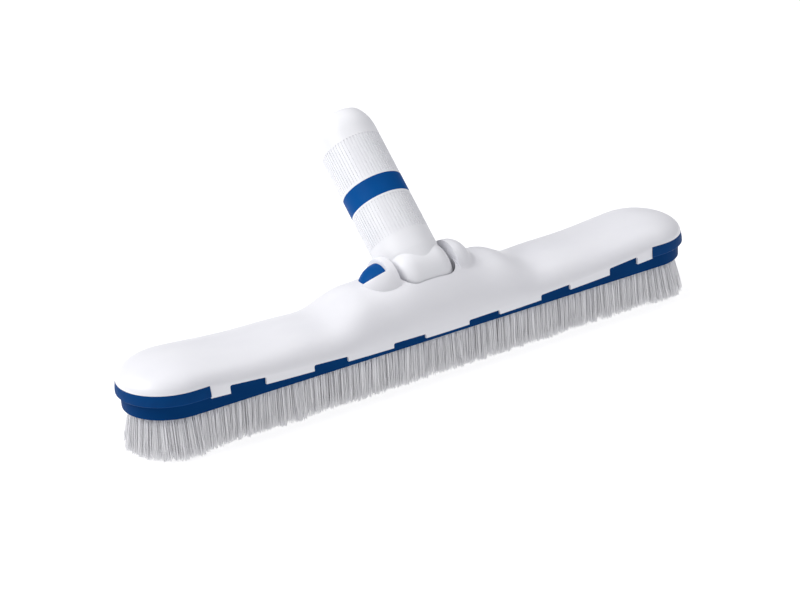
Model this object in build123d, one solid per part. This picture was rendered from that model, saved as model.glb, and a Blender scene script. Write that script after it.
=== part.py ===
"""Pool wall brush with a tilting twist-lock pole socket.

X runs along the brush, -Y is its front, +Z points away from the bristles.
The origin is the centre of the plane that the bristle tips rest on.  All sizes in mm.
"""
from build123d import *
import math
import os

os.makedirs("parts", exist_ok=True)

# ---------------------------------------------------------------- head, overall
HEAD_LENGTH = 457.0         # over the two end bumpers
BAND_HALF_DEPTH = 33.5      # half the front-to-back size of the bristle base
BRISTLE_TRIM = 30.5         # bristle length below the base
BUMPER_PROUD = 3.0          # how far an end bumper stands out from the base
SKIRT_PROUD = 2.0           # how far the white skirt stands out from the base
SEAM_GAP = 0.15             # gap between pieces that are assembled face to face

# ---------------------------------------------------------------- bristle base
PLATE_THICKNESS = 8.0
RIM_THICKNESS = 2.5
RIM_OVER_NOTCH = 0.6        # the blue rim ends this far above the notches' top line

# ---------------------------------------------------------------- skirt line, heights above the base
SKIRT_MIDDLE = 3.1
SKIRT_END = 8.9
NOTCH_TOP_MIDDLE = 6.3
NOTCH_TOP_END = 15.2
NOTCH_CORNER = 1.3          # rounding of the notches' upper corners
TAB_PITCH = 61.75
TAB_WIDTH = 26.1
SMALLEST_TOOTH = 8.0
BUMPER_RETURN = 10.8        # straight stretch of a bumper before the round end
BUMPER_LOW = 9.6
BUMPER_HIGH = 17.7
BUMPER_CREST = 1.0          # rounding between the bumper's underside and its outer face
BUMPER_TOP_LIP = 1.0        # how far the bumper's top edge stands in from its crest

# ---------------------------------------------------------------- back shell
ROOF_WALL = 3.0
SHOULDER_OVER_NOTCH = 1.0   # the skirt is upright up to here, and domed above
FAIRING_RIDGE = [(0, 47.5), (22, 45.0), (33, 42.0), (44, 40.2), (58, 39.0), (68, 34.8), (80, 29.0)]
ARM_RIDGE = [(0.16, 28.4), (0.32, 28.8), (0.50, 28.8), (0.70, 29.9), (0.88, 31.8), (1.0, 32.4)]

# ---------------------------------------------------------------- tilting joint
CUP_FLOOR = 3.15            # between the hub's room and the base plate
HUB_RADIUS = 22.0           # of the barrel-shaped foot of the handle
HUB_INSET = 3.0             # room between the hub and each cheek, for a flange and a washer
HUB_ROUND = 12.0
HUB_GAP = 0.7
CUP_WALL = 2.5
CHEEK_ROOM = 1.3            # between the handle's side and each cheek
CHEEK_THICKNESS = 6.0
CHEEK_RADIUS = 19.4
LUG_REACH = 15.0            # of the right cheek's domed side, beyond its straight part
SHROUD_REACH = 21.5         # of the left cheek's domed side, which holds the cap
LUG_STRAIGHT = 3.0
LUG_BLEND = 6.0             # fillet where the right lug grows out of the back
CAP_RADIUS = 16.5
CAP_REACH = 19.0            # of the domed cap, beyond the cheek's straight part
CAP_PARTING = (-0.18, 0.54, 0.82)   # upward normal of the slanted face that the cap shows above
PARTING_POINT = (-6.8, 12.3)  # Y and Z from the pivot of a point on that face, beside the cheek
PARTING_ROOM = 0.6
TILT_REST = 46.0            # lean of the handle from upright, towards +Y
TILT_MAX = 60.0
SWEEP_GAP = 0.5             # room round the handle in its slot

BOLT_RADIUS = 4.0
BOLT_CLEARANCE = 0.05
BOLT_HEAD_FLATS = 13.0
BOLT_HEAD_HEIGHT = 5.3
NUT_FLATS = 13.0
NUT_HEIGHT = 6.5
BUSH_WALL = 1.2
BUSH_FLANGE_RADIUS = 7.6
BUSH_FLANGE = 1.4
BUSH_LENGTH = 12.0
WASHER_RADIUS = 7.5
WASHER_PLAY = 0.1
HEAD_ROOM = 8.6             # radius of the recess for the bolt's head
CAP_HOLLOW = 3.0            # depth of the same recess in the cap
SEAT_ROOM = 1.0             # space round the washers beside the hub
HEAD_SINK = 4.5             # depth of the head's seat in the cheek
CORE_INSET = 0.8            # the lug's inner backing is this much smaller than its skin

# ---------------------------------------------------------------- handle, distances from the pivot
POLE_RADIUS = 15.875        # standard 1-1/4 in telescopic pole
POLE_GAP = 0.275
SLEEVE_WALL = 6.55
NECK_START = 4.0
NECK_END = 13.0
RIBS_START = 26.0
SOCKET_FLOOR = 27.0
SLEEVE_END = 57.3
RING_LENGTH = 14.9
NUT_STRAIGHT = 41.8
NUT_NOSE = 16.5
NOSE_WALL = 1.8
NOSE_EDGE = 1.0             # bevel round the nose's opening
NUT_SMOOTH = 6.5            # smooth stretch between the nut's ribs and its nose
NOSE_GAP = 0.25             # the nose opening is this much wider than the socket
NUT_WALL = 2.5
THREAD_GAP = 0.3
SPIGOT_LENGTH = 34.7        # of the sleeve's reduced end, under the ring and the nut
RING_COLLAR = 3.0
RING_COLLAR_WALL = 1.0
COLLET_CONE_GAP = 0.35
COLLET_NOSE_WALL = 0.9
COLLET_SLOTS = 6
COLLET_SLOT_WIDTH = 2.5
COLLET_BASE = 6.0
RIB_COUNT = 60
RIB_GROOVE_WIDTH = 0.9
RIB_GROOVE_DEPTH = 0.45
RIB_MARGIN = 1.6            # smooth margin at each end of a ribbed stretch

# ---------------------------------------------------------------- bristles and screws
TUFT_PITCH = 10.4
TUFT_RADIUS = 2.9
TUFT_SEAT = 5.5             # how far a tuft goes into its hole
TUFT_ROW_GAP = 13.0
OUTER_ROW = 2 * TUFT_ROW_GAP
ANCHOR_HEIGHT = 1.2
ANCHOR_THICKNESS = 0.5
ANCHOR_INSET = 0.4
SCREW_TUFTS = (5, 11, 17)   # tufts of the middle row that a screw replaces, each way
SCREW_RADIUS = 2.0
SCREW_HEAD_RADIUS = 4.0
SCREW_HEAD_HEIGHT = 2.4
SCREW_SINK = 0.8            # the head's face lies this deep
SCREW_BITE = 12.0
SCREW_BOSS_RADIUS = 4.6
SCREW_GAP = 0.05
CROSS_LENGTH = 4.0
CROSS_WIDTH = 0.9
CROSS_DEPTH = 1.4

# ---------------------------------------------------------------- places worked out from the sizes above
BASE_Z = BRISTLE_TRIM
ARC_X = HEAD_LENGTH / 2 - BAND_HALF_DEPTH - BUMPER_PROUD
BUMPER_EDGE_X = ARC_X - BUMPER_RETURN
SKIRT_HALF_DEPTH = BAND_HALF_DEPTH + SKIRT_PROUD
CAVITY_HALF_DEPTH = BAND_HALF_DEPTH + SEAM_GAP
PLATE_TOP = BASE_Z + PLATE_THICKNESS
PIVOT_Z = PLATE_TOP + SEAM_GAP + CUP_FLOOR + HUB_GAP + HUB_RADIUS
SOCKET_RADIUS = POLE_RADIUS + POLE_GAP
HANDLE_RADIUS = SOCKET_RADIUS + SLEEVE_WALL
CHEEK_GAP = HANDLE_RADIUS + CHEEK_ROOM      # half the space between the cheeks
HUB_HALF_WIDTH = CHEEK_GAP - HUB_INSET
CHEEK_OUTER = CHEEK_GAP + CHEEK_THICKNESS
LUG_OUTER = CHEEK_GAP + LUG_STRAIGHT + LUG_REACH
SHROUD_OUTER = CHEEK_GAP + LUG_STRAIGHT + SHROUD_REACH
HOLE_TOP = BASE_Z + TUFT_SEAT + ANCHOR_HEIGHT
FLANGE_FACE = HUB_HALF_WIDTH + BUSH_FLANGE
NECK_RADIUS = math.sqrt(HUB_RADIUS ** 2 - NECK_START ** 2)
RING_END = SLEEVE_END + RING_LENGTH
CONE_START = RING_END + NUT_STRAIGHT
TIP = CONE_START + NUT_NOSE
NOSE_BORE = SOCKET_RADIUS + NOSE_GAP
NOSE_RADIUS = NOSE_BORE + NOSE_WALL
THREAD_BORE = HANDLE_RADIUS - NUT_WALL
SPIGOT_RADIUS = THREAD_BORE - THREAD_GAP
SPIGOT_END = SLEEVE_END + SPIGOT_LENGTH
FAIRING_END = FAIRING_RIDGE[-1][0]
FAR = 400.0                 # longer than any piece, for cutting tools

HANDLE_PLACE = Pos(0, 0, PIVOT_Z) * Rot(-TILT_REST, 0, 0)


# ---------------------------------------------------------------- helpers
def rod_x(radius, x_from, x_to, z=PIVOT_Z):
    """Cylinder along X at height z."""
    rod = Rot(0, 90, 0) * Cylinder(radius, x_to - x_from)
    return Pos((x_from + x_to) / 2, 0, z) * rod


def rod_z(radius, z_from, z_to):
    """Cylinder along Z on the axis."""
    return Pos(0, 0, (z_from + z_to) / 2) * Cylinder(radius, z_to - z_from)


def tube_z(outer, inner, z_from, z_to):
    """Tube along Z on the axis."""
    return rod_z(outer, z_from, z_to) - rod_z(inner, z_from, z_to)


def hexagon_x(flats, x_from, x_to):
    """Hexagonal bar along the pivot axis."""
    bar = extrude(RegularPolygon(flats / 2, 6, major_radius=False), x_to - x_from)
    return Pos(x_from, 0, PIVOT_Z) * (Rot(0, 90, 0) * bar)


def stadium(half_depth, z_from, z_to):
    """Round-ended plate in plan, with its end arcs about the bumpers' centres."""
    outline = SlotCenterToCenter(2 * ARC_X, 2 * half_depth)
    return Pos(0, 0, z_from) * extrude(outline, z_to - z_from)


def line_height(x, middle, end):
    """Height of a line that is lowest in the middle of the brush."""
    return middle + (end - middle) * (x / BUMPER_EDGE_X) ** 2


def below_line(middle, end, x_from, x_to):
    """Everything under a curved line, between two places along the brush."""
    left = (-ARC_X, BASE_Z + line_height(ARC_X, middle, end))
    right = (ARC_X, BASE_Z + line_height(ARC_X, middle, end))
    with BuildSketch(Plane.XZ) as region:
        with BuildLine():
            ThreePointArc(left, (0, BASE_Z + middle), right)
            Polyline(right, (ARC_X, -FAR), (-ARC_X, -FAR), left)
        make_face()
    slab = extrude(region.sketch, FAR / 2, both=True)
    window = Pos((x_from + x_to) / 2, 0, 0) * Box(x_to - x_from, FAR, 2 * FAR)
    return slab & window


def tab_centres():
    """Places of the blue tabs along one half of the brush."""
    centres = []
    centre = TAB_PITCH / 2
    while centre + TAB_WIDTH / 2 + SMALLEST_TOOTH <= BUMPER_EDGE_X:
        centres.append(centre)
        centre += TAB_PITCH
    return centres


# ---------------------------------------------------------------- back shell
def ridge_stations():
    """Place along the brush and height above the base of each section of the back."""
    arm = ARC_X - FAIRING_END
    right = FAIRING_RIDGE + [(FAIRING_END + share * arm, height) for share, height in ARM_RIDGE]
    left = [(-x, height) for x, height in reversed(right) if x > 0]
    return left + right


def shoulder_at(x):
    """Height above the base at which the skirt turns into the dome."""
    return line_height(x, NOTCH_TOP_MIDDLE, NOTCH_TOP_END) + SHOULDER_OVER_NOTCH


def dome_section(x, ridge, half_depth, drop):
    """Section across the back: upright sides and a half ellipse on top."""
    shoulder = BASE_Z + shoulder_at(x)
    with BuildSketch(Plane.YZ.offset(x)) as section:
        with BuildLine():
            Polyline((-half_depth, shoulder), (-half_depth, 0), (half_depth, 0), (half_depth, shoulder))
            EllipticalCenterArc((0, shoulder), half_depth, BASE_Z + ridge - drop - shoulder, 0, arc_size=180)
        make_face()
    return section.sketch


def dome_end(half_depth, drop):
    """Round end of the back: the last section turned half a turn about the end's centre."""
    shoulder = BASE_Z + shoulder_at(ARC_X)
    top = BASE_Z + ARM_RIDGE[-1][1] - drop
    with BuildSketch(Plane.YZ.offset(ARC_X)) as half:
        with BuildLine():
            Polyline((0, top), (0, 0), (-half_depth, 0), (-half_depth, shoulder))
            EllipticalCenterArc((0, shoulder), half_depth, top - shoulder, 90, arc_size=90)
        make_face()
    return revolve(half.sketch, Axis((ARC_X, 0, 0), (0, 0, 1)), 180)


def dome(half_depth, drop):
    """Solid under the back's outer or inner surface."""
    sections = [dome_section(x, ridge, half_depth, drop) for x, ridge in ridge_stations()]
    end = dome_end(half_depth, drop)
    return loft(sections) + end + mirror(end, Plane.YZ)


def barrel(gap, half_width):
    """Barrel about the pivot axis: the foot of the handle, or the room round it."""
    radius = HUB_RADIUS + gap
    corner = HUB_ROUND + gap
    with BuildSketch(Plane.XY) as half:
        with BuildLine():
            Polyline((0, 0), (0, radius), (half_width - corner, radius))
            CenterArc((half_width - corner, radius - corner), corner, 0, 90)
            Polyline((half_width, radius - corner), (half_width, 0), (0, 0))
        make_face()
    right = revolve(half.sketch, Axis.X)
    return right + mirror(right, Plane.YZ)


def handle_outline(gap, length):
    """Neck and sleeve as a plain solid of revolution, upright on the pivot."""
    with BuildSketch(Plane.XZ) as outline:
        with BuildLine():
            Polyline(
                (0, 0), (NECK_RADIUS + gap, 0), (NECK_RADIUS + gap, NECK_START),
                (HANDLE_RADIUS + gap, NECK_END), (HANDLE_RADIUS + gap, length), (0, length), (0, 0),
            )
        make_face()
    return revolve(outline.sketch, Axis.Z)


def handle_at(tilt, gap):
    """Room for the neck and sleeve at one tilt."""
    return Pos(0, 0, PIVOT_Z) * Rot(-tilt, 0, 0) * handle_outline(gap, FAR)


def handle_sweep():
    """Space that the handle sweeps between upright and fully leaned back."""
    lean = math.radians(TILT_MAX)
    top = PIVOT_Z + FAR
    rear = (FAR * math.sin(lean), PIVOT_Z + FAR * math.cos(lean))
    with BuildSketch(Plane.YZ) as fan:
        with BuildLine():
            Polyline((0, PIVOT_Z), rear, (rear[0], top), (0, top), (0, PIVOT_Z))
        make_face()
    between = extrude(fan.sketch, CHEEK_GAP, both=True)
    return handle_at(0, SWEEP_GAP) + handle_at(TILT_MAX, SWEEP_GAP) + between


def cradle_core():
    """Material left inside the shell round the hub, its slot and the pivot."""
    cup = Pos(0, 0, PIVOT_Z) * barrel(HUB_GAP + CUP_WALL, CHEEK_GAP + CUP_WALL)
    shroud = mirror(lug(CHEEK_RADIUS - CORE_INSET, SHROUD_REACH - CORE_INSET), Plane.YZ)
    nut_block = rod_x(CHEEK_RADIUS - CUP_WALL, 0, LUG_OUTER)
    slot = handle_at(0, SWEEP_GAP + CUP_WALL) + handle_at(TILT_MAX, SWEEP_GAP + CUP_WALL)
    return cup + shroud + nut_block + slot


def screw_places():
    """Centres of the screws that hold the base to the shell."""
    places = []
    for index in SCREW_TUFTS:
        x = index * TUFT_PITCH
        if x < ARC_X:
            places += [-x, x]
    return places


def lug(radius, reach):
    """Cheek on the right of the hub, domed on its outer side."""
    start = CHEEK_GAP + LUG_STRAIGHT
    with BuildSketch(Plane.XY) as half:
        with BuildLine():
            Polyline((start, radius), (CHEEK_GAP, radius), (CHEEK_GAP, 0), (start + reach, 0))
            EllipticalCenterArc((start, 0), reach, radius, 0, arc_size=90)
        make_face()
    return Pos(0, 0, PIVOT_Z) * revolve(half.sketch, Axis.X)


def cap_dome(gap):
    """Domed cap on the left cheek's seat, or the room round it."""
    whole = mirror(lug(CAP_RADIUS + gap, CAP_REACH + gap), Plane.YZ)
    beyond = Box(FAR, FAR, FAR, align=(Align.MAX, Align.CENTER, Align.CENTER))
    return whole & (Pos(gap - SEAM_GAP - CHEEK_OUTER, 0, 0) * beyond)


def cap_window():
    """Part of the left lug that is cut away so that the cap shows."""
    y, z = PARTING_POINT
    face = Plane(origin=(-CHEEK_OUTER, y, PIVOT_Z + z), z_dir=CAP_PARTING)
    above = face.location * Box(FAR, FAR, FAR, align=(Align.CENTER, Align.CENTER, Align.MIN))
    return above & rod_x(CHEEK_RADIUS + PARTING_ROOM, -SHROUD_OUTER - PARTING_ROOM, -CHEEK_OUTER)


def back_with_lug():
    """Outer body of the back with both lugs, the right one blended into it."""
    whole = dome(SKIRT_HALF_DEPTH, 0) + lug(CHEEK_RADIUS, LUG_REACH)
    seam = [e for e in whole.edges() if is_lug_seam(e)]
    return fillet(seam, LUG_BLEND) + (mirror(lug(CHEEK_RADIUS, SHROUD_REACH), Plane.YZ) - cap_window())


def is_lug_seam(edge):
    """True for the edge where the lug's dome meets the back."""
    middle = edge.center()
    beyond = CHEEK_GAP + 0.01 < middle.X < LUG_OUTER
    return beyond and edge.geom_type not in (GeomType.LINE, GeomType.CIRCLE, GeomType.ELLIPSE)


def screw_boss(x):
    """Pillar from the roof down to the base for one screw."""
    return Pos(x, 0, 0) * rod_z(SCREW_BOSS_RADIUS, PLATE_TOP + SEAM_GAP, FAR)


def notch(x):
    """Cutter for one notch in the skirt, with rounded upper corners."""
    block = below_line(NOTCH_TOP_MIDDLE, NOTCH_TOP_END, x - TAB_WIDTH / 2, x + TAB_WIDTH / 2)
    corners = block.edges().filter_by(Axis.Y).sort_by(Axis.Z)[-2:]
    return fillet(corners, NOTCH_CORNER)


def pivot_bores():
    """Bolt hole, head recess on the left and nut pocket on the right."""
    bolt = rod_x(BOLT_RADIUS + BOLT_CLEARANCE, -CHEEK_OUTER, LUG_OUTER - ROOF_WALL)
    recess = rod_x(HEAD_ROOM, -CHEEK_OUTER - SEAM_GAP, head_seat())
    pocket = hexagon_x(NUT_FLATS + 2 * SEAM_GAP, CHEEK_GAP, CHEEK_GAP + NUT_HEIGHT)
    return bolt + recess + pocket


def back_shell():
    """White back: domed cover, notched skirt, cup, fork cheeks and screw pillars."""
    outer = back_with_lug()
    hollow = dome(CAVITY_HALF_DEPTH, ROOF_WALL) - cradle_core()
    for x in screw_places():
        hollow -= screw_boss(x)
    shell = outer - hollow
    shell -= stadium(CAVITY_HALF_DEPTH, -1, PLATE_TOP + SEAM_GAP)
    shell -= below_line(SKIRT_MIDDLE, SKIRT_END, -FAR, FAR)
    for x in tab_centres():
        for side in (-x, x):
            shell -= notch(side)
    for side in (-1, 1):
        end = Box(FAR, FAR, BASE_Z + BUMPER_HIGH, align=(Align.MIN, Align.CENTER, Align.MIN))
        turn = 0 if side > 0 else 180
        shell -= Rot(0, 0, turn) * (Pos(BUMPER_EDGE_X, 0, 0) * end)
    shell -= Pos(0, 0, PIVOT_Z) * barrel(HUB_GAP, CHEEK_GAP)
    shell -= handle_sweep()
    shell -= rod_x(WASHER_RADIUS + SEAT_ROOM, -CHEEK_GAP, CHEEK_GAP)
    shell -= cap_dome(SEAM_GAP)
    shell -= pivot_bores()
    for x in screw_places():
        shell -= Pos(x, 0, 0) * rod_z(SCREW_RADIUS + SCREW_GAP, PLATE_TOP, PLATE_TOP + SCREW_BITE)
    return shell


# ---------------------------------------------------------------- base, bumpers, screws
def base_rim():
    """Upright rim that shows as blue tabs in the notches of the skirt."""
    ring = stadium(BAND_HALF_DEPTH, BASE_Z, BASE_Z + BUMPER_HIGH)
    ring -= stadium(BAND_HALF_DEPTH - RIM_THICKNESS, BASE_Z, BASE_Z + BUMPER_HIGH)
    low = NOTCH_TOP_MIDDLE + RIM_OVER_NOTCH
    high = NOTCH_TOP_END + RIM_OVER_NOTCH
    middle = ring & below_line(low, high, -ARC_X, ARC_X)
    ends = ring - Box(2 * ARC_X, FAR, FAR)
    return middle + (ends & Pos(0, 0, BASE_Z) * Box(FAR * 2, FAR, 2 * high))


def straight_row(y, stagger, reach):
    """Tuft places of one straight row, in X and Y."""
    places = [] if stagger else [(0.0, y)]
    x = TUFT_PITCH / 2 if stagger else TUFT_PITCH
    while x <= reach:
        places += [(-x, y), (x, y)]
        x += TUFT_PITCH
    return places


def tuft_rows():
    """Tuft places of each bristle node."""
    inner = TUFT_ROW_GAP
    rows = {
        "bristles_row_front": straight_row(-OUTER_ROW, False, ARC_X),
        "bristles_row_front_inner": straight_row(-inner, True, ARC_X - TUFT_PITCH / 2),
        "bristles_row_middle": straight_row(0, False, ARC_X + TUFT_PITCH - TUFT_RADIUS),
        "bristles_row_rear_inner": straight_row(inner, True, ARC_X - TUFT_PITCH / 2),
        "bristles_row_rear": straight_row(OUTER_ROW, False, ARC_X),
    }
    taken = screw_places()
    middle = rows["bristles_row_middle"]
    rows["bristles_row_middle"] = [p for p in middle if all(abs(p[0] - x) > 1 for x in taken)]
    rows["bristles_end_right"] = end_fan(rows)
    rows["bristles_end_left"] = [(-x, y) for x, y in rows["bristles_end_right"]]
    return rows


def end_fan(rows):
    """Tuft places of the two arcs that carry the rows round one end."""
    places = []
    for radius, row in ((OUTER_ROW, "bristles_row_front"), (TUFT_ROW_GAP, "bristles_row_front_inner")):
        last = max(x for x, _ in rows[row])
        lead = math.degrees((last + TUFT_PITCH - ARC_X) / radius)
        span = 180 - 2 * lead
        count = round(math.radians(span) * radius / TUFT_PITCH)
        for step in range(count + 1):
            angle = math.radians(-90 + lead + span * step / count)
            places.append((ARC_X + radius * math.cos(angle), radius * math.sin(angle)))
    return places


def all_tufts():
    """Every tuft place."""
    return [place for row in tuft_rows().values() for place in row]


def bristle_base():
    """Blue block: plate with a blind hole for each tuft, and its upright rim."""
    base = stadium(BAND_HALF_DEPTH, BASE_Z, PLATE_TOP) + base_rim()
    hole = rod_z(TUFT_RADIUS, BASE_Z, HOLE_TOP)
    base -= [Pos(x, y, 0) * hole for x, y in all_tufts()]
    for x in screw_places():
        base -= Pos(x, 0, 0) * rod_z(SCREW_RADIUS + SCREW_GAP, BASE_Z, PLATE_TOP)
        head = rod_z(SCREW_HEAD_RADIUS + 2 * SCREW_GAP, BASE_Z, BASE_Z + SCREW_SINK + SCREW_HEAD_HEIGHT)
        base -= Pos(x, 0, 0) * head
    return base


def end_bumper():
    """Soft blue lip round the right end, proud of the base and undercut below."""
    inner = BAND_HALF_DEPTH + SEAM_GAP
    crest = BAND_HALF_DEPTH + BUMPER_PROUD
    low = BASE_Z + BUMPER_LOW
    high = BASE_Z + BUMPER_HIGH - SEAM_GAP
    with BuildSketch(Plane.YZ.offset(ARC_X)) as section:
        with BuildLine():
            Polyline((-crest, low + BUMPER_CREST), (-crest + BUMPER_CREST, low), (-inner, low), (-inner, high))
            Line((-inner, high), (-crest + BUMPER_TOP_LIP, high))
            ThreePointArc(
                (-crest + BUMPER_TOP_LIP, high),
                (-crest + BUMPER_TOP_LIP / 5, (low + high) / 2),
                (-crest, low + BUMPER_CREST),
            )
        make_face()
    turned = revolve(section.sketch, Axis((ARC_X, 0, 0), (0, 0, 1)), 180)
    front = extrude(section.sketch, -BUMPER_RETURN + SEAM_GAP)
    return turned + front + mirror(front, Plane.XZ)


def tuft():
    """One tuft of bristles as a plain rod on the axis."""
    return rod_z(TUFT_RADIUS - SCREW_GAP, 0, BASE_Z + TUFT_SEAT)


def tuft_anchor():
    """Flat wire staple that holds a tuft in its hole."""
    width = 2 * (TUFT_RADIUS - ANCHOR_INSET)
    return Pos(0, 0, BASE_Z + TUFT_SEAT + ANCHOR_HEIGHT / 2) * Box(width, ANCHOR_THICKNESS, ANCHOR_HEIGHT)


def base_screw():
    """Cross-recessed pan screw, head down, on the axis."""
    face = BASE_Z + SCREW_SINK
    head = rod_z(SCREW_HEAD_RADIUS, face, face + SCREW_HEAD_HEIGHT)
    head = fillet(head.edges().sort_by(Axis.Z)[0], SCREW_HEAD_HEIGHT / 2)
    shank = rod_z(SCREW_RADIUS, face, PLATE_TOP + SCREW_BITE - 1)
    slot = Pos(0, 0, face) * Box(CROSS_LENGTH, CROSS_WIDTH, 2 * CROSS_DEPTH)
    return head + shank - slot - Rot(0, 0, 90) * slot


# ---------------------------------------------------------------- pivot pieces
def head_seat():
    """Face of the left cheek that the bolt's head is drawn against."""
    return -CHEEK_OUTER + HEAD_SINK


def pivot_bolt():
    """Hexagon bolt through the left cheek and the hub into the nut."""
    head = hexagon_x(BOLT_HEAD_FLATS, head_seat() - BOLT_HEAD_HEIGHT, head_seat())
    shank = rod_x(BOLT_RADIUS, head_seat(), CHEEK_GAP + NUT_HEIGHT)
    return head + shank


def pivot_nut():
    """Captive hexagon nut in the right cheek."""
    bore = rod_x(BOLT_RADIUS + BOLT_CLEARANCE, CHEEK_GAP, CHEEK_GAP + NUT_HEIGHT)
    return hexagon_x(NUT_FLATS, CHEEK_GAP, CHEEK_GAP + NUT_HEIGHT) - bore


def pivot_washers():
    """Two thick washers between the hub and the cheeks."""
    washer = rod_x(WASHER_RADIUS, FLANGE_FACE + WASHER_PLAY, CHEEK_GAP)
    washer -= rod_x(BOLT_RADIUS + BOLT_CLEARANCE, FLANGE_FACE, CHEEK_GAP)
    return [washer, mirror(washer, Plane.YZ)]


def pivot_cap():
    """Blue domed cap over the bolt's head."""
    return cap_dome(0) - rod_x(HEAD_ROOM, -CHEEK_OUTER - CAP_HOLLOW, -CHEEK_OUTER)


def hub_bushes():
    """Two flanged plain bushes in the ends of the hub's bore."""
    bore = BOLT_RADIUS + BOLT_CLEARANCE
    bush = rod_x(bore + BUSH_WALL, HUB_HALF_WIDTH - BUSH_LENGTH, HUB_HALF_WIDTH)
    bush += rod_x(BUSH_FLANGE_RADIUS, HUB_HALF_WIDTH, FLANGE_FACE)
    bush -= rod_x(bore, 0, CHEEK_GAP)
    return [bush, mirror(bush, Plane.YZ)]


# ---------------------------------------------------------------- handle pieces, built upright on the axis
def ribbed(solid, z_from, z_to):
    """Cut fine lengthwise grooves round one stretch of the handle."""
    groove = Box(2 * RIB_GROOVE_DEPTH, RIB_GROOVE_WIDTH, z_to - z_from - 2 * RIB_MARGIN)
    groove = Pos(HANDLE_RADIUS, 0, (z_from + z_to) / 2) * groove
    return solid - [Rot(0, 0, 360 * k / RIB_COUNT) * groove for k in range(RIB_COUNT)]


def handle_sleeve():
    """Hub, neck and ribbed grip in one, with the pole socket and the reduced threaded end."""
    sleeve = barrel(0, HUB_HALF_WIDTH) + handle_outline(0, SLEEVE_END)
    sleeve += rod_z(SPIGOT_RADIUS, SLEEVE_END, SPIGOT_END)
    sleeve -= rod_z(SOCKET_RADIUS, SOCKET_FLOOR, SPIGOT_END)
    sleeve = ribbed(sleeve, RIBS_START, SLEEVE_END)
    sleeve -= rod_x(BOLT_RADIUS + BOLT_CLEARANCE + BUSH_WALL, -FAR, FAR, 0)
    seat = rod_x(WASHER_RADIUS + SEAT_ROOM, HUB_HALF_WIDTH, FAR, 0)
    return sleeve - seat - mirror(seat, Plane.YZ)


def lock_ring():
    """Blue ring between the sleeve and the nut, with a collar that the nut turns on."""
    face = RING_END - SEAM_GAP
    ring = tube_z(HANDLE_RADIUS, THREAD_BORE, SLEEVE_END, face)
    return ring + tube_z(THREAD_BORE + RING_COLLAR_WALL, THREAD_BORE, face, RING_END + RING_COLLAR)


def clamp_nut():
    """Ribbed twist nut with a rounded nose."""
    with BuildSketch(Plane.XZ) as section:
        with BuildLine():
            Polyline(
                (NOSE_RADIUS, TIP - NOSE_EDGE), (NOSE_RADIUS - NOSE_EDGE, TIP), (NOSE_BORE, TIP),
                (NOSE_BORE, collet_end() + 1), (collet_nose_radius() + COLLET_CONE_GAP, collet_end()),
                (THREAD_BORE, collet_cone_start()), (THREAD_BORE, RING_END),
                (HANDLE_RADIUS, RING_END), (HANDLE_RADIUS, CONE_START),
            )
            TangentArc((HANDLE_RADIUS, CONE_START), (NOSE_RADIUS, TIP - NOSE_EDGE), tangent=(0, 1))
        make_face()
    nut = revolve(section.sketch, Axis.Z)
    room = THREAD_BORE + RING_COLLAR_WALL + THREAD_GAP
    nut -= rod_z(room, RING_END, RING_END + RING_COLLAR + THREAD_GAP)
    return ribbed(nut, RING_END, CONE_START - NUT_SMOOTH)


def collet_cone_start():
    """Where the collet and the nut's inside start to narrow."""
    return CONE_START - NUT_WALL


def collet_end():
    """Outer end of the collet, short of the nut's nose opening."""
    return TIP - 5


def collet_nose_radius():
    """Outer radius of the collet's fingertips."""
    return SOCKET_RADIUS + COLLET_NOSE_WALL


def pole_collet():
    """Split gripping ring on the end of the sleeve, inside the nut."""
    cone_top = collet_end() - COLLET_CONE_GAP
    with BuildSketch(Plane.XZ) as section:
        with BuildLine():
            Polyline(
                (SOCKET_RADIUS, SPIGOT_END), (SPIGOT_RADIUS, SPIGOT_END), (SPIGOT_RADIUS, collet_cone_start()),
                (collet_nose_radius(), cone_top), (SOCKET_RADIUS, cone_top), (SOCKET_RADIUS, SPIGOT_END),
            )
        make_face()
    collet = revolve(section.sketch, Axis.Z)
    slot = Box(FAR, COLLET_SLOT_WIDTH, FAR, align=(Align.MIN, Align.CENTER, Align.MIN))
    slot = Pos(0, 0, SPIGOT_END + COLLET_BASE) * slot
    return collet - [Rot(0, 0, 360 * k / COLLET_SLOTS) * slot for k in range(COLLET_SLOTS)]


# ---------------------------------------------------------------- writing
def write(name, shape):
    """Write one piece, or a group of equal pieces, as parts/NAME.step."""
    solids = shape if isinstance(shape, list) else [shape]
    body = Compound([solid for piece in solids for solid in piece.solids()])
    export_step(body, f"parts/{name}.step")
    print(name, len(body.solids()), "solids", round(body.volume / 1000, 2), "cm3")


def main():
    """Build every piece and write it."""
    write("back_shell", back_shell())
    write("bristle_base", bristle_base())
    bumper = end_bumper()
    write("end_bumper_right", bumper)
    write("end_bumper_left", mirror(bumper, Plane.YZ))
    for name, places in tuft_rows().items():
        write(name, [Pos(x, y, 0) * tuft() for x, y in places])
    write("tuft_anchors", [Pos(x, y, 0) * tuft_anchor() for x, y in all_tufts()])
    write("base_screws", [Pos(x, 0, 0) * base_screw() for x in screw_places()])
    write("pivot_bolt", pivot_bolt())
    write("pivot_nut", pivot_nut())
    write("pivot_washers", pivot_washers())
    write("pivot_cap", pivot_cap())
    tilted = Rot(-TILT_REST, 0, 0)
    pivot = Pos(0, 0, PIVOT_Z)
    write("hub_bushes", [pivot * tilted * (Pos(0, 0, -PIVOT_Z) * bush) for bush in hub_bushes()])
    write("handle_sleeve", HANDLE_PLACE * handle_sleeve())
    write("pole_collet", HANDLE_PLACE * pole_collet())
    write("lock_ring", HANDLE_PLACE * lock_ring())
    write("clamp_nut", HANDLE_PLACE * clamp_nut())


main()
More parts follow.
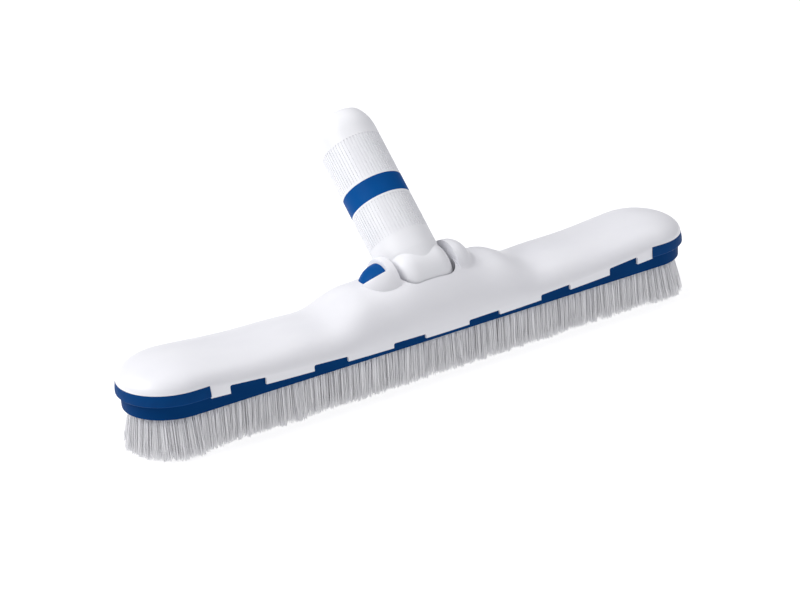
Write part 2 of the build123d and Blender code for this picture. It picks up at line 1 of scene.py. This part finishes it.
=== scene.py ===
"""Pool wall brush with a tilting twist-lock pole socket: its finishes, bristles and studio.

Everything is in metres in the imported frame's own axes.  X runs along the brush, -Y is its
front and +Z points up from the plane of the bristle tips.
"""
import logging
import math
import random
from abc import ABC, abstractmethod
from dataclasses import dataclass, field
from enum import Enum

import bmesh
import bpy
from mathutils import Matrix, Vector


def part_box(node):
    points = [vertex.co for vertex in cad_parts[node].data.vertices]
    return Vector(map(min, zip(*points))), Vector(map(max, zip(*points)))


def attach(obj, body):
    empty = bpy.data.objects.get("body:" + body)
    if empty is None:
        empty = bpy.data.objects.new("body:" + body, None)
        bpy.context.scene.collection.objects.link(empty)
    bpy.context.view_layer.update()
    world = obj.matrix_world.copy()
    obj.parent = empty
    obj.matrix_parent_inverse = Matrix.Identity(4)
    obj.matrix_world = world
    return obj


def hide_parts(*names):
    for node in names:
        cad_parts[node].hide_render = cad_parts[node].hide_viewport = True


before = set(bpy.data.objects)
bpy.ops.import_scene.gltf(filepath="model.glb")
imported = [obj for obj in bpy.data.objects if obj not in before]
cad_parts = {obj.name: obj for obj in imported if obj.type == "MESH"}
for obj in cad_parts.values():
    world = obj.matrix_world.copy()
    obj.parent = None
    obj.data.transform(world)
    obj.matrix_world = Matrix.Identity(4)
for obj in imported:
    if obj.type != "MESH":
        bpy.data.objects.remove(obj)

LOG = logging.getLogger("pool_brush")
MM = 0.001
GOLDEN_TURN = math.radians(137.5)
RGB = tuple[float, float, float]
Spot = tuple[float, float]


class Body(Enum):
    """The frame's bodies that new pieces ride on."""

    HEAD = "head"


class Slot(Enum):
    """The record's material slots that new pieces take their finish from."""

    BRISTLE = "bristle_nylon"


class Grain(Enum):
    """Surface left by the mould: what the texture's bumps look like."""

    SPARK = "spark-eroded"
    SATIN = "satin"


# ---------------------------------------------------------------- finishes
class Recipe:
    """Node tree of one finish, with short calls for the nodes that the finishes share."""

    def __init__(self, name: str) -> None:
        """Start a material with its surface shader.

        Args:
            name: The material's name.
        """
        self.material = bpy.data.materials.new(name)
        self.material.use_nodes = True
        self.tree = self.material.node_tree
        self.shader = self.tree.nodes["Principled BSDF"]
        self.place = self.add("ShaderNodeTexCoord").outputs["Object"]

    def add(self, kind: str, **settings: object) -> bpy.types.Node:
        """Add a node.

        Args:
            kind: The node's type name.
            **settings: Properties to set on it.

        Returns:
            The new node.
        """
        node = self.tree.nodes.new(kind)
        for key, value in settings.items():
            setattr(node, key, value)
        return node

    def join(self, source: bpy.types.NodeSocket, target: bpy.types.NodeSocket) -> None:
        """Link two sockets."""
        self.tree.links.new(source, target)

    def stretched(self, scale: tuple[float, float, float]) -> bpy.types.NodeSocket:
        """Object coordinates scaled by a different amount along each axis.

        Args:
            scale: Factor along X, Y and Z.

        Returns:
            The socket that carries the scaled coordinates.
        """
        mapping = self.add("ShaderNodeMapping")
        mapping.inputs["Scale"].default_value = scale
        self.join(self.place, mapping.inputs["Vector"])
        return mapping.outputs["Vector"]

    def noise(
        self,
        size: float,
        detail: float = 3.0,
        place: bpy.types.NodeSocket | None = None,
    ) -> bpy.types.NodeSocket:
        """Cloudy noise.

        Args:
            size: Width of one cloud, in metres.
            detail: Number of finer layers in it.
            place: Coordinates to read, the object's own if None.

        Returns:
            The socket that carries a value from 0 to 1.
        """
        node = self.add("ShaderNodeTexNoise")
        node.inputs["Scale"].default_value = 1.0 / size
        node.inputs["Detail"].default_value = detail
        self.join(place or self.place, node.inputs["Vector"])
        return node.outputs["Fac"]

    def cells(self, size: float) -> bpy.types.NodeSocket:
        """Distance to the nearest of many scattered points.

        Args:
            size: Width of one cell, in metres.

        Returns:
            The socket that carries the distance.
        """
        node = self.add("ShaderNodeTexVoronoi")
        node.inputs["Scale"].default_value = 1.0 / size
        self.join(self.place, node.inputs["Vector"])
        return node.outputs["Distance"]

    def spread(
        self, value: bpy.types.NodeSocket, low: float, high: float
    ) -> bpy.types.NodeSocket:
        """Map the middle of a noise's range onto two levels.

        Args:
            value: Socket with the noise.
            low: Result where the noise is 0.3 or less.
            high: Result where the noise is 0.7 or more.

        Returns:
            The socket that carries the result.
        """
        node = self.add("ShaderNodeMapRange")
        node.inputs["From Min"].default_value = 0.3
        node.inputs["From Max"].default_value = 0.7
        node.inputs["To Min"].default_value = low
        node.inputs["To Max"].default_value = high
        self.join(value, node.inputs["Value"])
        return node.outputs["Result"]

    def between(
        self, share: bpy.types.NodeSocket, first: object, second: object
    ) -> bpy.types.NodeSocket:
        """Mix two colours.

        Args:
            share: Socket with the second colour's share.
            first: A colour, or a socket that carries one.
            second: A colour, or a socket that carries one.

        Returns:
            The socket that carries the mixed colour.
        """
        node = self.add("ShaderNodeMix", data_type="RGBA")
        self.join(share, node.inputs["Factor"])
        for socket, value in ((node.inputs[6], first), (node.inputs[7], second)):
            if isinstance(value, bpy.types.NodeSocket):
                self.join(value, socket)
            else:
                socket.default_value = (*value, 1.0)
        return node.outputs[2]

    def relief(
        self,
        height: bpy.types.NodeSocket,
        depth: float,
        strength: float = 1.0,
        under: bpy.types.NodeSocket | None = None,
    ) -> bpy.types.NodeSocket:
        """Raise a texture from the surface.

        Args:
            height: Socket with the texture.
            depth: Height of a full step of the texture, in metres.
            strength: How strongly it shows.
            under: Socket with an earlier relief that this one lies on.

        Returns:
            The socket that carries the tilted normal.
        """
        node = self.add("ShaderNodeBump")
        node.inputs["Strength"].default_value = strength
        node.inputs["Distance"].default_value = depth
        self.join(height, node.inputs["Height"])
        if under is not None:
            self.join(under, node.inputs["Normal"])
        return node.outputs["Normal"]

    def set(self, **levels: object) -> None:
        """Set sockets of the surface shader that are the same all over.

        Args:
            **levels: Socket names with _ for spaces, and their values.
        """
        for key, value in levels.items():
            self.shader.inputs[key.replace("_", " ")].default_value = value

    def feed(self, socket: str, source: bpy.types.NodeSocket) -> None:
        """Link a socket to one of the surface shader's inputs."""
        self.join(source, self.shader.inputs[socket])


class Finish(ABC):
    """What one kind of surface looks like."""

    @abstractmethod
    def mix(self, name: str) -> bpy.types.Material:
        """Make the material under a name."""


@dataclass(frozen=True)
class MouldedPlastic(Finish):
    """Injection-moulded plastic.

    Attributes:
        colour: Main colour.
        cloud: Colour of the faint flow clouds.
        roughness: Roughness in its smoothest and dullest patches.
        grain: What the mould's texture looks like.
        grain_size: Width of one grain.
        grain_depth: Depth of the grain.
        scuffs: How strongly fine handling marks dull the surface, from 0 to 1.
        shine: How strongly it mirrors its surroundings, 0.5 for a plain polished plastic.
    """

    colour: RGB
    cloud: RGB
    roughness: tuple[float, float]
    grain: Grain = Grain.SPARK
    grain_size: float = 0.45 * MM
    grain_depth: float = 0.02 * MM
    scuffs: float = 0.3
    shine: float = 0.5

    def mix(self, name: str) -> bpy.types.Material:
        """Make the plastic under a name."""
        recipe = Recipe(name)
        flow = recipe.noise(22 * MM, 4.0, recipe.stretched((0.5, 1.0, 1.0)))
        recipe.feed("Base Color", recipe.between(recipe.spread(flow, 0.0, 1.0), self.colour, self.cloud))
        dull = recipe.spread(recipe.noise(9 * MM, 5.0), *self.roughness)
        scratch = recipe.noise(0.5 * MM, 2.0, recipe.stretched((0.06, 1.0, 0.6)))
        marks = recipe.add("ShaderNodeMath", operation="MULTIPLY_ADD", use_clamp=True)
        marks.inputs[1].default_value = 0.12 * self.scuffs
        recipe.join(recipe.spread(scratch, -1.0, 1.0), marks.inputs[0])
        recipe.join(dull, marks.inputs[2])
        recipe.feed("Roughness", marks.outputs["Value"])
        recipe.feed("Normal", self.texture(recipe))
        recipe.set(IOR=1.52, Specular_IOR_Level=self.shine)
        return recipe.material

    def texture(self, recipe: Recipe) -> bpy.types.NodeSocket:
        """Lay the mould's grain over faint sink marks.

        Args:
            recipe: The finish that it belongs to.

        Returns:
            The socket that carries the normal.
        """
        sink = recipe.relief(recipe.noise(16 * MM, 2.0), 0.06 * MM, 0.5)
        if self.grain is Grain.SPARK:
            bumps = recipe.cells(self.grain_size)
        else:
            bumps = recipe.noise(self.grain_size, 4.0)
        return recipe.relief(bumps, self.grain_depth, 0.7, sink)


@dataclass(frozen=True)
class SoftRubber(Finish):
    """Matt overmoulded rubber with a dusty bloom.

    Attributes:
        colour: Main colour.
        bloom: Colour of the paler bloom on it.
        roughness: Roughness in its smoothest and dullest patches.
    """

    colour: RGB
    bloom: RGB
    roughness: tuple[float, float] = (0.48, 0.62)

    def mix(self, name: str) -> bpy.types.Material:
        """Make the rubber under a name."""
        recipe = Recipe(name)
        dust = recipe.spread(recipe.noise(6 * MM, 6.0), 0.0, 0.6)
        recipe.feed("Base Color", recipe.between(dust, self.colour, self.bloom))
        recipe.feed("Roughness", recipe.spread(recipe.noise(3 * MM, 4.0), *self.roughness))
        skin = recipe.relief(recipe.noise(0.7 * MM, 5.0), 0.04 * MM, 0.6)
        recipe.feed("Normal", recipe.relief(recipe.cells(0.3 * MM), 0.015 * MM, 0.6, skin))
        recipe.set(IOR=1.5, Specular_IOR_Level=0.05, Sheen_Weight=0.01, Sheen_Roughness=0.5)
        return recipe.material


@dataclass(frozen=True)
class BristleNylon(Finish):
    """Drawn nylon monofilament, each filament of a slightly different shade.

    Attributes:
        pale: Colour of the clearest filaments.
        deep: Colour of the greyest filaments.
        root: Painted shade: a darker colour towards the base, standing in for the shade where the filaments
            stand close.
        root_height: Height at which the root colour is full.
        tip_height: Height below which it is gone.
    """

    pale: RGB
    deep: RGB
    root: RGB
    root_height: float
    tip_height: float

    def mix(self, name: str) -> bpy.types.Material:
        """Make the nylon under a name."""
        recipe = Recipe(name)
        shade = recipe.add("ShaderNodeAttribute", attribute_name="shade")
        drawn = recipe.between(shade.outputs["Fac"], self.deep, self.pale)
        height = recipe.add("ShaderNodeSeparateXYZ")
        recipe.join(recipe.place, height.inputs["Vector"])
        # Painted shade: towards the base the filaments turn to the darker root colour, standing in for the
        # shade where they stand close.
        painted_root_shade = recipe.add("ShaderNodeMapRange", interpolation_type="SMOOTHSTEP")
        painted_root_shade.inputs["From Min"].default_value = self.tip_height
        painted_root_shade.inputs["From Max"].default_value = self.root_height
        recipe.join(height.outputs["Z"], painted_root_shade.inputs["Value"])
        recipe.feed("Base Color", recipe.between(painted_root_shade.outputs["Result"], drawn, self.root))
        streak = recipe.noise(0.5 * MM, 3.0, recipe.stretched((1.0, 1.0, 0.08)))
        recipe.feed("Roughness", recipe.spread(streak, 0.26, 0.42))
        recipe.feed("Normal", recipe.relief(streak, 0.03 * MM, 0.5))
        recipe.set(IOR=1.53)
        return recipe.material


@dataclass(frozen=True)
class WorkedMetal(Finish):
    """Turned, rolled or pressed metal with fine tool marks.

    Attributes:
        colour: Main colour.
        tarnish: Colour of its duller patches.
        roughness: Roughness in its brightest and dullest patches.
        marks: Spacing of the tool marks.
    """

    colour: RGB
    tarnish: RGB
    roughness: tuple[float, float] = (0.18, 0.34)
    marks: float = 0.25 * MM

    def mix(self, name: str) -> bpy.types.Material:
        """Make the metal under a name."""
        recipe = Recipe(name)
        patch = recipe.spread(recipe.noise(3 * MM, 5.0), 0.0, 1.0)
        recipe.feed("Base Color", recipe.between(patch, self.colour, self.tarnish))
        recipe.feed("Roughness", recipe.spread(recipe.noise(1.2 * MM, 4.0), *self.roughness))
        lines = recipe.noise(self.marks, 2.0, recipe.stretched((1.0, 0.1, 0.1)))
        recipe.feed("Normal", recipe.relief(lines, 0.01 * MM, 0.6))
        recipe.set(Metallic=1.0)
        return recipe.material


@dataclass(frozen=True)
class StudioFloor(Finish):
    """Pale seamless floor that glows a little, so that shadows on it stay light.

    Attributes:
        colour: Its colour.
        glow: Strength of its own light.
    """

    colour: RGB
    glow: float

    def mix(self, name: str) -> bpy.types.Material:
        """Make the floor's surface under a name."""
        recipe = Recipe(name)
        cloth = recipe.spread(recipe.noise(400 * MM, 2.0), 0.0, 1.0)
        shade = tuple(0.985 * level for level in self.colour)
        recipe.feed("Base Color", recipe.between(cloth, self.colour, shade))
        recipe.set(Roughness=0.9, Emission_Color=(1.0, 1.0, 1.0, 1.0), Emission_Strength=self.glow)
        return recipe.material


SHELL_WHITE = MouldedPlastic(
    colour=(0.84, 0.84, 0.87), cloud=(0.81, 0.81, 0.845), roughness=(0.34, 0.44), scuffs=0.25
)
GRIP_WHITE = MouldedPlastic(
    colour=(0.86, 0.86, 0.885), cloud=(0.82, 0.825, 0.855), roughness=(0.38, 0.5),
    grain_size=0.6 * MM, grain_depth=0.03 * MM, scuffs=0.4,
)
BASE_BLUE = MouldedPlastic(
    colour=(0.0004, 0.032, 0.130), cloud=(0.0006, 0.039, 0.150), roughness=(0.42, 0.54),
    grain_size=0.5 * MM, grain_depth=0.03 * MM, scuffs=0.5, shine=0.02,
)
# Painted light: the cap and the ring take a blue about twice as bright as the base's. It is a lit copy of the
# same blue, standing in for the stronger light they catch.
PAINTED_LIGHT_TRIM_BLUE = MouldedPlastic(
    colour=(0.0004, 0.064, 0.255), cloud=(0.0006, 0.076, 0.29), roughness=(0.42, 0.54),
    grain=Grain.SATIN, grain_size=0.8 * MM, grain_depth=0.05 * MM, scuffs=0.5, shine=0.05,
)
BUMPER_BLUE = SoftRubber(colour=(0.0004, 0.041, 0.163), bloom=(0.0007, 0.050, 0.187))
BUSH_NATURAL = MouldedPlastic(
    colour=(0.72, 0.70, 0.64), cloud=(0.66, 0.64, 0.58), roughness=(0.3, 0.4),
    grain=Grain.SATIN, grain_size=0.3 * MM, grain_depth=0.01 * MM,
)
COLLET_BLACK = MouldedPlastic(
    colour=(0.018, 0.019, 0.021), cloud=(0.026, 0.027, 0.030), roughness=(0.32, 0.46), scuffs=0.8
)
STEEL = WorkedMetal(colour=(0.66, 0.665, 0.67), tarnish=(0.56, 0.565, 0.575))
BRASS = WorkedMetal(colour=(0.78, 0.57, 0.26), tarnish=(0.62, 0.43, 0.19), roughness=(0.28, 0.45))


def dress(finish: Finish, *nodes: str) -> None:
    """Give a finish to CAD nodes, through their own material slots.

    Args:
        finish: The finish.
        *nodes: Names of the nodes.
    """
    material = finish.mix(f"{nodes[0]}_finish")
    for node in nodes:
        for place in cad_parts[node].material_slots:
            place.material = material
        LOG.info("%s keeps its CAD shape, finished as %s", node, material.name)


# ---------------------------------------------------------------- bristles
@dataclass
class Tuft:
    """One half of a bundle of bristles that is folded over its anchor, root up at the origin.

    Attributes:
        filaments: How many ends it shows.
        radius: Radius of one filament.
        hole: Radius of the half bundle at its root.
        flare: How many times wider it is at its tips.
        length: From the root to the longest tip.
        ragged: How much shorter the shortest filaments are.
        wisps: Number of wisps that its tips draw together into.
        clump: How strongly they draw together, from 0 to 1.
        stray: How far a tip strays from its place.
        bow: How far a filament's middle stands aside.
        shades: Middle and spread of the filaments' shades, from 0 to 1.
        bends: Number of straight stretches in a filament.
    """

    filaments: int = 46
    radius: float = 0.25 * MM
    hole: float = 2.2 * MM
    flare: float = 1.5
    length: float = 33.4 * MM
    ragged: float = 3.4 * MM
    wisps: int = 4
    clump: float = 0.3
    stray: float = 0.5 * MM
    bow: float = 0.7 * MM
    shades: tuple[float, float] = (0.65, 0.25)
    bends: int = 3

    def build(self, rng: random.Random) -> bpy.types.Mesh:
        """Make one bundle.

        Args:
            rng: Source of its chance.

        Returns:
            The bundle's mesh, root at z 0 and tips below.
        """
        mesh = bmesh.new()
        shade = mesh.verts.layers.float.new("shade")
        wisps = [self.in_disc(rng, self.hole * 0.9) for _ in range(self.wisps)]
        cut = rng.uniform(0.0, 0.4) * self.ragged
        for index in range(self.filaments):
            foot = self.foot(index, rng)
            wisp = min(wisps, key=lambda centre: (centre - foot).length)
            tip = foot.lerp(wisp, rng.uniform(0.0, self.clump)) * self.flare
            tip += self.in_disc(rng, self.stray)
            tip.z = -self.length + cut + self.ragged * rng.random() ** 2
            bow = self.in_disc(rng, self.bow)
            level = min(1.0, max(0.0, rng.gauss(*self.shades)))
            for vert in self.filament(mesh, foot, tip, bow):
                vert[shade] = level
        bmesh.ops.recalc_face_normals(mesh, faces=mesh.faces)
        made = bpy.data.meshes.new("tuft")
        mesh.to_mesh(made)
        mesh.free()
        return made

    def foot(self, index: int, rng: random.Random) -> Vector:
        """Place of one filament in the hole, on a sunflower pattern."""
        reach = self.hole * math.sqrt((index + 0.5) / self.filaments)
        turn = index * GOLDEN_TURN
        return Vector((reach * math.cos(turn), reach * math.sin(turn), 0.0)) + self.in_disc(rng, 0.1 * MM)

    @staticmethod
    def in_disc(rng: random.Random, radius: float) -> Vector:
        """A level vector of random length and direction, no longer than radius."""
        reach = radius * math.sqrt(rng.random())
        turn = rng.uniform(0.0, 2.0 * math.pi)
        return Vector((reach * math.cos(turn), reach * math.sin(turn), 0.0))

    def filament(
        self, mesh: bmesh.types.BMesh, foot: Vector, tip: Vector, bow: Vector
    ) -> list[bmesh.types.BMVert]:
        """Extrude one filament from its root to its tip.

        Args:
            mesh: The bundle that it is added to.
            foot: Its root.
            tip: Its tip.
            bow: How far its middle stands aside from the straight line.

        Returns:
            Its vertices.
        """
        ring = bmesh.ops.create_circle(mesh, cap_ends=True, segments=4, radius=self.radius)["verts"]
        bmesh.ops.rotate(mesh, verts=ring, matrix=Matrix.Rotation(foot.x / MM, 3, "Z"))
        bmesh.ops.translate(mesh, verts=ring, vec=foot)
        made = list(ring)
        face = ring[0].link_faces[0]
        here = foot
        for step in range(1, self.bends + 1):
            share = step / self.bends
            spread = math.sqrt(share)
            there = foot.lerp(tip, spread) + bow * (4.0 * share * (1.0 - share))
            there.z = foot.z + (tip.z - foot.z) * share
            grown = bmesh.ops.extrude_face_region(mesh, geom=[face])["geom"]
            face = next(part for part in grown if isinstance(part, bmesh.types.BMFace))
            bmesh.ops.translate(mesh, verts=face.verts, vec=there - here)
            made += list(face.verts)
            here = there
        return made


@dataclass
class BristleField:
    """All the bristles, one piece for each CAD row or end fan.

    Attributes:
        rows: The CAD nodes that the pieces stand for.
        tuft: Recipe of one bundle.
        kinds: How many different bundles are made and dealt out.
        depth: How deep a bundle's root sits in the base.
        parting: How far the two halves of a bundle stand from the middle of their hole.
        lean: Lean along the brush at its left end, left knot, middle and right end, in degrees.
        left_knot: Place of the left knot, as a share of the way to the left end.
        splay: Outward lean at the front and rear edges, in degrees.
        end_splay: Outward lean added round the ends of the brush, in degrees.
        rounding: Where that lean starts and over how much it grows, in half depths of the brush.
        scatter: Random lean of each bundle, in degrees.
        seed: Start of all its chance.
    """

    rows: tuple[str, ...] = (
        "bristles_row_front",
        "bristles_row_front_inner",
        "bristles_row_middle",
        "bristles_row_rear_inner",
        "bristles_row_rear",
        "bristles_end_right",
        "bristles_end_left",
    )
    tuft: Tuft = field(default_factory=Tuft)
    kinds: int = 9
    depth: float = 3.0 * MM
    parting: float = 2.6 * MM
    lean: tuple[float, float, float, float] = (1.0, -5.0, -3.0, 1.5)
    left_knot: float = 0.72
    splay: float = 3.0
    end_splay: float = 13.0
    rounding: tuple[float, float] = (1.4, 0.5)
    scatter: float = 1.6
    seed: int = 71

    def build(self) -> None:
        """Make, place and dress every row."""
        rng = random.Random(self.seed)
        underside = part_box("bristle_base")[0].z
        root = underside + self.depth
        self.tuft.length = root - 0.1 * MM
        bundles = [self.tuft.build(rng) for _ in range(self.kinds)]
        # Its root colour is painted shade, darker towards the base of the bristles.
        nylon = BristleNylon(
            pale=(0.95, 0.95, 0.965), deep=(0.82, 0.82, 0.85), root=(0.84, 0.84, 0.87),
            root_height=underside, tip_height=underside - 14 * MM,
        ).mix("bristle_nylon_finish")
        for row in self.rows:
            places = self.places(row)
            piece = self.plant(row, places, root, bundles, rng)
            piece.data.materials.append(nylon)
            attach(piece, Body.HEAD.value)
            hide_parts(row)
            LOG.info("%s planted with %d bundles, %d faces", piece.name, len(places), len(piece.data.polygons))
        for bundle in bundles:
            bpy.data.meshes.remove(bundle)

    @staticmethod
    def places(row: str) -> list[Spot]:
        """Find the bundles of one CAD node.

        Args:
            row: The node's name.

        Returns:
            The middle of each of its solids, in X and Y.
        """
        mesh = bmesh.new()
        mesh.from_mesh(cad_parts[row].data)
        bmesh.ops.remove_doubles(mesh, verts=mesh.verts, dist=0.001 * MM)
        found = []
        for start in mesh.verts:
            if start.tag:
                continue
            start.tag = True
            island, edge_of = [], [start]
            while edge_of:
                vert = edge_of.pop()
                island.append(vert.co.copy())
                for link in vert.link_edges:
                    other = link.other_vert(vert)
                    if not other.tag:
                        other.tag = True
                        edge_of.append(other)
            xs, ys = [c.x for c in island], [c.y for c in island]
            found.append(((min(xs) + max(xs)) / 2, (min(ys) + max(ys)) / 2))
        mesh.free()
        return sorted(found)

    def lean_at(self, x: float) -> float:
        """Lean along the brush, in degrees, at a place along it."""
        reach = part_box("bristle_base")[1].x
        knots = (-reach, -self.left_knot * reach, 0.0, reach)
        for left, right, low, high in zip(knots, knots[1:], self.lean, self.lean[1:]):
            if x <= right:
                share = max(0.0, (x - left) / (right - left))
                return low + (high - low) * share
        return self.lean[-1]

    def halves(self, places: list[Spot], straight: float) -> list[Spot]:
        """Places of the two halves of each bundle, which stand apart along their row.

        Args:
            places: The holes.
            straight: How far the rows run straight from the middle of the brush.

        Returns:
            The middle of each half, in X and Y.
        """
        found = []
        for x, y in places:
            past = max(0.0, abs(x) - straight) * math.copysign(1.0, x)
            heading = math.atan2(y, past) + math.pi / 2.0 if past else 0.0
            apart = Vector((math.cos(heading), math.sin(heading))) * self.parting
            found += [(x - apart.x, y - apart.y), (x + apart.x, y + apart.y)]
        return found

    def plant(
        self,
        row: str,
        places: list[Spot],
        root: float,
        bundles: list[bpy.types.Mesh],
        rng: random.Random,
    ) -> bpy.types.Object:
        """Set bundles into the holes of one row.

        Args:
            row: Name of the CAD node that the piece stands for.
            places: The holes.
            root: Height of the bundles' roots.
            bundles: The bundles to deal out.
            rng: Source of chance.

        Returns:
            The new piece.
        """
        mesh = bmesh.new()
        reach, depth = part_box("bristle_base")[1].xy
        start, run = self.rounding
        for x, y in self.halves(places, reach - depth):
            bundle = rng.choice(bundles).copy()
            beyond = max(0.0, abs(x) - (reach - depth)) / depth
            outward = self.end_splay * math.copysign(beyond, x)
            near_end = max(0.0, abs(x) - (reach - start * depth)) / (run * depth)
            sideways = (self.splay + self.end_splay * min(1.0, near_end)) * y / depth
            along = math.radians(self.lean_at(x) + outward + rng.gauss(0.0, self.scatter))
            across = math.radians(sideways + rng.gauss(0.0, 0.6 * self.scatter))
            turn = Matrix.Rotation(rng.uniform(0.0, 2.0 * math.pi), 4, "Z")
            tilt = Matrix.Rotation(-along, 4, "Y") @ Matrix.Rotation(across, 4, "X")
            bundle.transform(Matrix.Translation((x, y, root)) @ tilt @ turn)
            mesh.from_mesh(bundle)
            bpy.data.meshes.remove(bundle)
        made = bpy.data.meshes.new(f"{row}_tufts")
        for face in mesh.faces:
            face.smooth = True
        mesh.to_mesh(made)
        mesh.free()
        piece = bpy.data.objects.new(f"{row}_tufts", made)
        bpy.context.scene.collection.objects.link(piece)
        return piece


# ---------------------------------------------------------------- head, fork and handle
@dataclass
class Head:
    """The brush head: white back, blue base, soft bumpers and the hidden fastenings.

    Attributes:
        back: Finish of the back.
        base: Finish of the base.
        bumper: Finish of the end bumpers.
    """

    back: Finish = SHELL_WHITE
    base: Finish = BASE_BLUE
    bumper: Finish = BUMPER_BLUE

    def build(self) -> None:
        """Dress the head's CAD nodes."""
        dress(self.back, "back_shell")
        dress(self.base, "bristle_base")
        dress(self.bumper, "end_bumper_right", "end_bumper_left")
        dress(STEEL, "base_screws")
        dress(BRASS, "tuft_anchors")


@dataclass
class Fork:
    """The tilting joint: bolt, nut, washers, bushes and the blue cap.

    Attributes:
        cap: Finish of the cap.
    """

    # The cap's blue carries painted light, brighter than the base's blue.
    cap: Finish = PAINTED_LIGHT_TRIM_BLUE

    def build(self) -> None:
        """Dress the joint's CAD nodes."""
        dress(self.cap, "pivot_cap")
        dress(STEEL, "pivot_bolt", "pivot_nut", "pivot_washers")
        dress(BUSH_NATURAL, "hub_bushes")


@dataclass
class Handle:
    """The pole socket: ribbed sleeve, ring, twist nut and collet.

    Attributes:
        grip: Finish of the sleeve and the nut.
        ring: Finish of the ring.
        collet: Finish of the collet.
    """

    grip: Finish = GRIP_WHITE
    # The ring's blue carries painted light, brighter than the base's blue.
    ring: Finish = PAINTED_LIGHT_TRIM_BLUE
    collet: Finish = COLLET_BLACK

    def build(self) -> None:
        """Dress the handle's CAD nodes."""
        dress(self.grip, "handle_sleeve", "clamp_nut")
        dress(self.ring, "lock_ring")
        dress(self.collet, "pole_collet")


# ---------------------------------------------------------------- studio
@dataclass(frozen=True)
class SoftBox:
    """One square soft light.

    Attributes:
        name: The light's name.
        place: Where it stands.
        target: What it points at.
        size: Its side.
        power: Its power in watts.
        colour: Its colour.
    """

    name: str
    place: tuple[float, float, float]
    target: tuple[float, float, float]
    size: float
    power: float
    colour: RGB = (1.0, 1.0, 1.0)

    def build(self) -> None:
        """Hang the light."""
        light = bpy.data.lights.new(self.name, "AREA")
        light.shape = "SQUARE"
        light.size = self.size
        light.energy = self.power
        light.color = self.colour
        lamp = bpy.data.objects.new(self.name, light)
        lamp.location = self.place
        away = Vector(self.place) - Vector(self.target)
        lamp.rotation_mode = "QUATERNION"
        lamp.rotation_quaternion = away.to_track_quat("Z", "Y")
        bpy.context.scene.collection.objects.link(lamp)


@dataclass(frozen=True)
class Viewpoint:
    """The main camera.

    Attributes:
        aim: The point that its place is measured from.
        right: The picture's rightward direction.
        up: The picture's upward direction.
        back: Direction from the aim to the camera.
        distance: From the aim to the camera.
        lens: Focal length in millimetres on a 36 mm sensor.
        shift: Lens shift to the side and up.
    """

    aim: tuple[float, float, float] = (0.0, -0.0335, 0.0305)
    right: tuple[float, float, float] = (0.8285, -0.5568, -0.0591)
    up: tuple[float, float, float] = (0.2659, 0.2984, 0.9167)
    back: tuple[float, float, float] = (-0.4928, -0.7752, 0.3953)
    distance: float = 1.2547
    lens: float = 82.15
    shift: tuple[float, float] = (-0.0586, 0.0433)

    def build(self) -> None:
        """Set up the camera."""
        data = bpy.data.cameras.new("main_camera")
        data.sensor_width = 36.0
        data.lens = self.lens
        data.shift_x, data.shift_y = self.shift
        camera = bpy.data.objects.new("main_camera", data)
        camera.location = Vector(self.aim) + Vector(self.back) * self.distance
        axes = Matrix((self.right, self.up, self.back)).transposed()
        camera.rotation_mode = "QUATERNION"
        camera.rotation_quaternion = axes.to_quaternion().normalized()
        bpy.context.scene.collection.objects.link(camera)
        bpy.context.scene.camera = camera


@dataclass
class Studio:
    """Pale floor, soft lights and the camera.

    Attributes:
        floor_side: Side of the floor.
        sky: Colour of the light from all round.
        sky_strength: Strength of that light.
        floor: Finish of the floor.
        lamps: The soft lights.
        viewpoint: The camera.
    """

    floor_side: float = 8.0
    sky: RGB = (0.94, 0.94, 1.0)
    sky_strength: float = 0.28
    floor: Finish = StudioFloor(colour=(0.4, 0.4, 0.41), glow=0.78)
    lamps: tuple[SoftBox, ...] = (
        SoftBox("key", (-1.75, 0.6, 1.75), (0.0, 0.0, 0.03), 1.4, 45.0),
        SoftBox("top", (0.3, 0.3, 2.2), (0.0, 0.0, 0.03), 1.8, 20.0),
        SoftBox("fill", (1.3, -1.2, 0.8), (0.0, 0.0, 0.03), 1.4, 2.5),
    )
    viewpoint: Viewpoint = Viewpoint()

    def build(self) -> None:
        """Set up the studio round the brush."""
        self.lay_floor()
        self.light_sky()
        for lamp in self.lamps:
            lamp.build()
        self.viewpoint.build()
        bpy.context.scene.view_settings.view_transform = "Standard"

    def lay_floor(self) -> None:
        """Lay the floor under the bristle tips."""
        mesh = bmesh.new()
        bmesh.ops.create_grid(mesh, x_segments=4, y_segments=4, size=self.floor_side / 2)
        made = bpy.data.meshes.new("studio_floor")
        mesh.to_mesh(made)
        mesh.free()
        made.materials.append(self.floor.mix("studio_floor_finish"))
        floor = bpy.data.objects.new("studio_floor", made)
        bpy.context.scene.collection.objects.link(floor)

    def light_sky(self) -> None:
        """Light the scene evenly from all round."""
        world = bpy.data.worlds.new("studio_sky")
        world.use_nodes = True
        glow = world.node_tree.nodes["Background"]
        glow.inputs["Color"].default_value = (*self.sky, 1.0)
        glow.inputs["Strength"].default_value = self.sky_strength
        bpy.context.scene.world = world


def main() -> None:
    """Build the brush's looks and its studio."""
    logging.basicConfig(level=logging.INFO, format="%(name)s: %(message)s")
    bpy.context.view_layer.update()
    for assembly in (Head(), BristleField(), Fork(), Handle(), Studio()):
        LOG.info("building %s", type(assembly).__name__)
        assembly.build()


if __name__ == "__main__":
    main()
